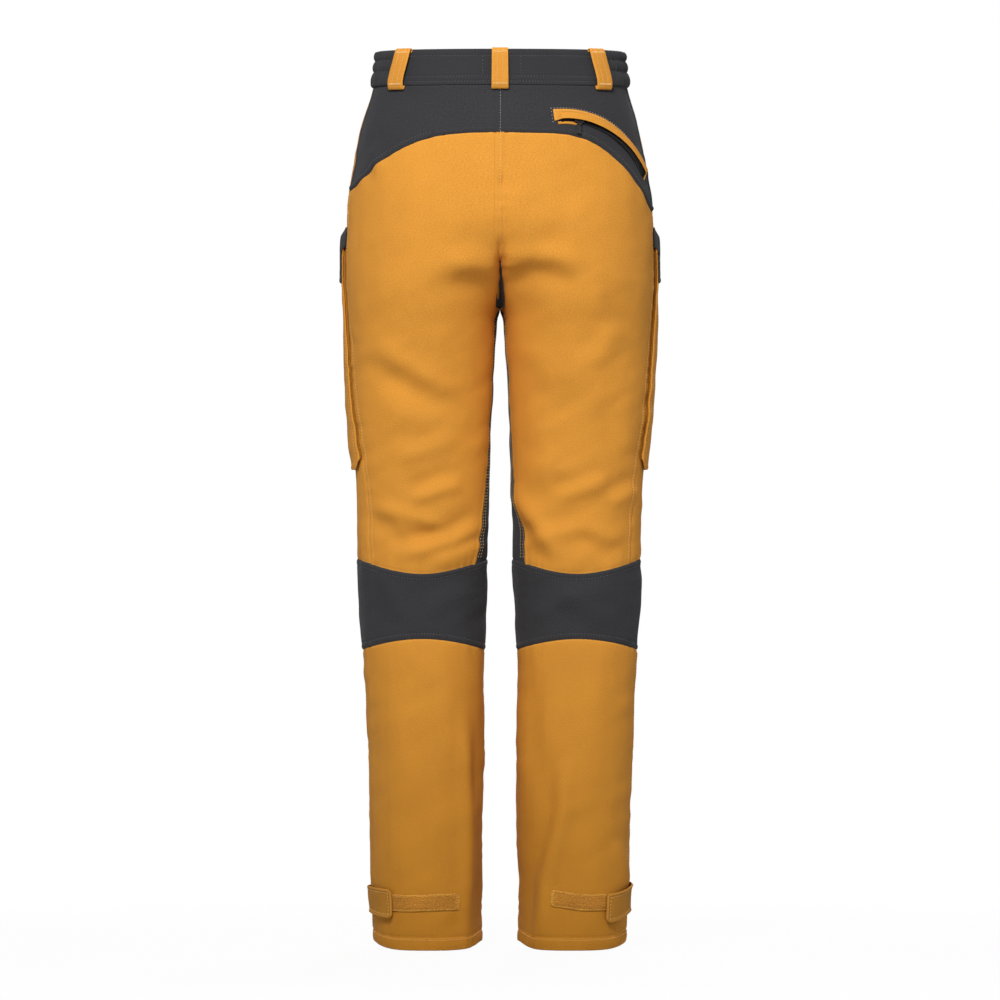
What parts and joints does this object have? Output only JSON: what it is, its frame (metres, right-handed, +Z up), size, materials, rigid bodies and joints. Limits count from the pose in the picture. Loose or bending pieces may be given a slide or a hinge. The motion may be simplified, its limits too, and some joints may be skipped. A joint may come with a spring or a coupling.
{
  "type": "work trousers",
  "caption": "Straight-leg outdoor work trousers with contrasting yoke and knee panels, bellows thigh pockets and hook-and-loop hem tabs.",
  "frame": {"origin": "middle of the waist opening, level with the waistband's top edge at the back", "axes": "+Z up along the wearer's body, +X towards the wearer's right, -Y towards the back of the trousers"},
  "size_m": [0.386, 0.2431, 1.0525],
  "materials": {
    "ochre_cloth": "woven, matte",
    "charcoal_cloth": "stretch weave, matte",
    "facing_cloth": "brushed",
    "pocketing": "plain weave",
    "elastic": "ribbed",
    "hook_and_loop": "fuzzy",
    "zip_tape": "woven tape",
    "dark_metal": "satin"
  },
  "bodies": {
    "trousers": {"waistband_back": "charcoal_cloth", "waistband_side_right": "charcoal_cloth", "waistband_side_left": "charcoal_cloth", "waistband_front_right": "charcoal_cloth", "waistband_front_left": "charcoal_cloth", "waistband_facing": "facing_cloth", "waist_elastic_right": "elastic", "waist_elastic_left": "elastic", "belt_loop_rear_centre": "ochre_cloth", "belt_loop_rear_right": "ochre_cloth", "belt_loop_rear_left": "ochre_cloth", "belt_loop_front_right": "ochre_cloth", "belt_loop_front_left": "ochre_cloth", "yoke_left": "charcoal_cloth", "back_panel_left": "ochre_cloth", "front_panel_left": "ochre_cloth", "hip_piece_left": "ochre_cloth", "inner_leg_panel_left": "charcoal_cloth", "knee_back_panel_left": "charcoal_cloth", "knee_front_panel_left": "ochre_cloth", "yoke_right": "charcoal_cloth", "back_panel_right": "ochre_cloth", "front_panel_right": "ochre_cloth", "hip_piece_right": "ochre_cloth", "inner_leg_panel_right": "charcoal_cloth", "knee_back_panel_right": "charcoal_cloth", "knee_front_panel_right": "ochre_cloth", "thigh_pocket_face_left": "ochre_cloth", "thigh_pocket_gusset_left": "ochre_cloth", "thigh_pocket_face_right": "ochre_cloth", "thigh_pocket_gusset_right": "ochre_cloth", "hand_pocket_bag_left": "pocketing", "hand_pocket_bag_right": "pocketing", "fly_zip_tape": "zip_tape", "fly_shield": "facing_cloth", "back_pocket_zip": "zip_tape", "back_pocket_cover": "ochre_cloth", "back_pocket_bag": "pocketing", "waist_stud_socket": "dark_metal"},
    "left_shin": {"lower_back_panel_left": "ochre_cloth", "lower_front_panel_left": "ochre_cloth", "hem_left": "ochre_cloth", "hem_loop_strip_left": "hook_and_loop"},
    "left_hem_tab": {"hem_tab_left": "ochre_cloth", "hem_hook_left": "hook_and_loop"},
    "left_thigh_flap": {"thigh_flap_left": "charcoal_cloth"},
    "right_shin": {"lower_back_panel_right": "ochre_cloth", "lower_front_panel_right": "ochre_cloth", "hem_right": "ochre_cloth", "hem_loop_strip_right": "hook_and_loop"},
    "right_hem_tab": {"hem_tab_right": "ochre_cloth", "hem_hook_right": "hook_and_loop"},
    "right_thigh_flap": {"thigh_flap_right": "charcoal_cloth"},
    "fly_slider": {"fly_zip_slider": "dark_metal"},
    "fly_pull": {"fly_zip_pull": "dark_metal"},
    "back_slider": {"back_pocket_slider": "dark_metal"},
    "back_pull": {"back_pocket_pull": "dark_metal"},
    "waist_flap": {"waist_tab": "charcoal_cloth", "waist_stud_cap": "dark_metal"}
  },
  "joints": [
    {"name": "left_knee", "type": "hinge", "parent": "trousers", "child": "left_shin", "pos_m": [-0.09, -0.01, -0.65], "axis": [-1, 0, 0], "range_deg": [0, 60], "deforming": ["knee_back_panel_left", "knee_front_panel_left"]},
    {"name": "left_hem_tab_peel", "type": "hinge", "parent": "left_shin", "child": "left_hem_tab", "pos_m": [-0.14941, 0.01124, -0.99701], "axis": [0.0318, -0.0037, -0.9995], "range_deg": [0, 100]},
    {"name": "left_thigh_flap_lift", "type": "hinge", "parent": "trousers", "child": "left_thigh_flap", "pos_m": [-0.17227, 0.04002, -0.20599], "axis": [0.3944, 0.9189, 0], "range_deg": [0, 75]},
    {"name": "right_knee", "type": "hinge", "parent": "trousers", "child": "right_shin", "pos_m": [0.09, -0.01, -0.65], "axis": [-1, 0, 0], "range_deg": [0, 60], "deforming": ["knee_back_panel_right", "knee_front_panel_right"]},
    {"name": "right_hem_tab_peel", "type": "hinge", "parent": "right_shin", "child": "right_hem_tab", "pos_m": [0.14941, 0.01124, -0.99701], "axis": [0.0318, 0.0037, 0.9995], "range_deg": [0, 100]},
    {"name": "right_thigh_flap_lift", "type": "hinge", "parent": "trousers", "child": "right_thigh_flap", "pos_m": [0.16953, 0.04579, -0.20598], "axis": [0.4623, -0.8867, 0], "range_deg": [0, 75]},
    {"name": "fly_zip_slide", "type": "slide", "parent": "trousers", "child": "fly_slider", "axis": [0, 0.0645, -0.9979], "range_m": [0, 0.1]},
    {"name": "fly_zip_pull_swing", "type": "hinge", "parent": "fly_slider", "child": "fly_pull", "pos_m": [0, 0.10632, -0.06684], "axis": [1, 0, 0], "range_deg": [0, 140]},
    {"name": "back_pocket_zip_slide", "type": "hinge", "parent": "trousers", "child": "back_slider", "pos_m": [0.05994, -0.05202, -0.18309], "axis": [-0.2232, 0.8669, 0.4458], "range_deg": [0, 49.9]},
    {"name": "back_pocket_pull_swing", "type": "hinge", "parent": "back_slider", "child": "back_pull", "pos_m": [0.09222, -0.10079, -0.08778], "axis": [-0.9351, -0.3195, 0.1532], "range_deg": [0, 85]},
    {"name": "waist_tab_open", "type": "hinge", "parent": "trousers", "child": "waist_flap", "pos_m": [0.00824, 0.10211, -0.03897], "axis": [0.0062, 0.0771, -0.997], "range_deg": [0, 70]}
  ]
}
